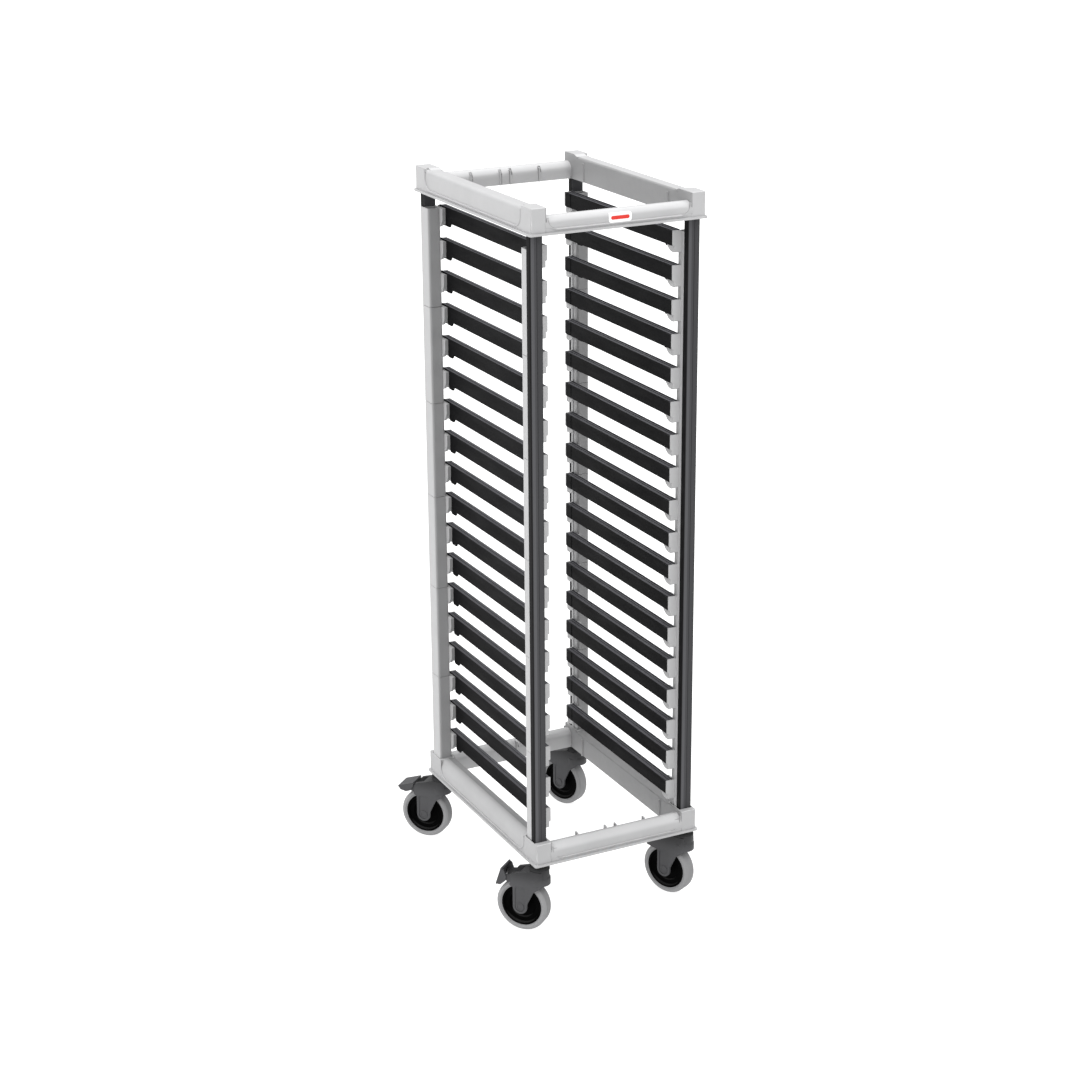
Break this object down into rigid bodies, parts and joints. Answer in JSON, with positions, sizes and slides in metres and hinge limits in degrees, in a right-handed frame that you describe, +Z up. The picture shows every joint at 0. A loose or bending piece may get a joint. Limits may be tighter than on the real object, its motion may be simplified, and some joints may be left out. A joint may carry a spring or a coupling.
{
  "type": "tray rack trolley",
  "caption": "Tall open tray rack on four swivel castors: two moulded ring frames, four black posts, clip-on rail holders and paired tray rails, brake pedals on the left.",
  "frame": {"origin": "on the floor, under the middle of the whole rack's box with the castors as they stand", "axes": "+X across the rack to the right, +Y from front to back, +Z up"},
  "size_m": [0.4922, 0.666, 1.677],
  "materials": {
    "frame_grey": "light grey moulded plastic, fine satin texture",
    "post_black": "black extrusion, satin, with fine lines along its length",
    "holder_grey": "light grey moulded plastic",
    "plug_black": "black moulded plastic, hidden",
    "steel": "zinc plated steel",
    "rail_charcoal": "charcoal glass-filled plastic, faintly mottled",
    "ring_black": "black bearing seal",
    "fork_grey": "dark grey moulded plastic",
    "core_black": "black moulded plastic",
    "tyre_grey": "mid grey non-marking rubber",
    "pedal_grey": "dark grey moulded plastic",
    "plate_white": "blank white plate with a plain red stripe"
  },
  "bodies": {
    "rack": {"bottom_frame": "frame_grey", "castor_stem_back_left": "steel", "castor_stem_back_right": "steel", "castor_stem_front_left": "steel", "castor_stem_front_right": "steel", "frame_screws": "steel", "name_plate": "plate_white", "post_back_left": "post_black", "post_back_right": "post_black", "post_bottom_plugs": "plug_black", "post_front_left": "post_black", "post_front_right": "post_black", "post_top_plugs": "plug_black", "rail_holders_back_left": "holder_grey", "rail_holders_back_right": "holder_grey", "rail_holders_front_left": "holder_grey", "rail_holders_front_right": "holder_grey", "rail_pair_01": "rail_charcoal", "rail_pair_02": "rail_charcoal", "rail_pair_03": "rail_charcoal", "rail_pair_04": "rail_charcoal", "rail_pair_05": "rail_charcoal", "rail_pair_06": "rail_charcoal", "rail_pair_07": "rail_charcoal", "rail_pair_08": "rail_charcoal", "rail_pair_09": "rail_charcoal", "rail_pair_10": "rail_charcoal", "rail_pair_11": "rail_charcoal", "rail_pair_12": "rail_charcoal", "rail_pair_13": "rail_charcoal", "rail_pair_14": "rail_charcoal", "rail_pair_15": "rail_charcoal", "rail_pair_16": "rail_charcoal", "rail_pair_17": "rail_charcoal", "rail_pair_18": "rail_charcoal", "swivel_ring_back_left": "ring_black", "swivel_ring_back_right": "ring_black", "swivel_ring_front_left": "ring_black", "swivel_ring_front_right": "ring_black", "top_frame": "frame_grey"},
    "fork_body_front_left": {"fork_front_left": "fork_grey", "axle_front_left": "steel", "pedal_pin_front_left": "steel"},
    "wheel_front_left": {"wheel_core_front_left": "core_black", "tyre_front_left": "tyre_grey"},
    "pedal_front_left": {"brake_pedal_front_left": "pedal_grey"},
    "fork_body_front_right": {"fork_front_right": "fork_grey", "axle_front_right": "steel"},
    "wheel_front_right": {"wheel_core_front_right": "core_black", "tyre_front_right": "tyre_grey"},
    "fork_body_back_left": {"fork_back_left": "fork_grey", "axle_back_left": "steel", "pedal_pin_back_left": "steel"},
    "wheel_back_left": {"wheel_core_back_left": "core_black", "tyre_back_left": "tyre_grey"},
    "pedal_back_left": {"brake_pedal_back_left": "pedal_grey"},
    "fork_body_back_right": {"fork_back_right": "fork_grey", "axle_back_right": "steel"},
    "wheel_back_right": {"wheel_core_back_right": "core_black", "tyre_back_right": "tyre_grey"}
  },
  "joints": [
    {"name": "swivel_front_left", "type": "hinge", "parent": "rack", "child": "fork_body_front_left", "pos_m": [-0.15696, -0.30605, 0.15], "axis": [0, 0, 1], "continuous": true},
    {"name": "roll_front_left", "type": "hinge", "parent": "fork_body_front_left", "child": "wheel_front_left", "pos_m": [-0.18192, -0.27544, 0.0625], "axis": [-0.7749, -0.632, 0], "continuous": true},
    {"name": "brake_pedal_turn_front_left", "type": "hinge", "parent": "fork_body_front_left", "child": "pedal_front_left", "pos_m": [-0.21005, -0.24095, 0.128], "axis": [-0.7749, -0.632, 0], "range_deg": [-54, 0]},
    {"name": "swivel_front_right", "type": "hinge", "parent": "rack", "child": "fork_body_front_right", "pos_m": [0.22064, -0.30605, 0.15], "axis": [0, 0, 1], "continuous": true},
    {"name": "roll_front_right", "type": "hinge", "parent": "fork_body_front_right", "child": "wheel_front_right", "pos_m": [0.20327, -0.27058, 0.0625], "axis": [-0.898, -0.4399, 0], "continuous": true},
    {"name": "swivel_back_left", "type": "hinge", "parent": "rack", "child": "fork_body_back_left", "pos_m": [-0.15696, 0.23595, 0.15], "axis": [0, 0, 1], "continuous": true},
    {"name": "roll_back_left", "type": "hinge", "parent": "fork_body_back_left", "child": "wheel_back_left", "pos_m": [-0.18308, 0.26558, 0.0625], "axis": [-0.7501, -0.6613, 0], "continuous": true},
    {"name": "brake_pedal_turn_back_left", "type": "hinge", "parent": "fork_body_back_left", "child": "pedal_back_left", "pos_m": [-0.21251, 0.29896, 0.128], "axis": [-0.7501, -0.6613, 0], "range_deg": [0, 54]},
    {"name": "swivel_back_right", "type": "hinge", "parent": "rack", "child": "fork_body_back_right", "pos_m": [0.22064, 0.23595, 0.15], "axis": [0, 0, 1], "continuous": true},
    {"name": "roll_back_right", "type": "hinge", "parent": "fork_body_back_right", "child": "wheel_back_right", "pos_m": [0.20382, 0.27169, 0.0625], "axis": [-0.9048, -0.4258, 0], "continuous": true}
  ]
}
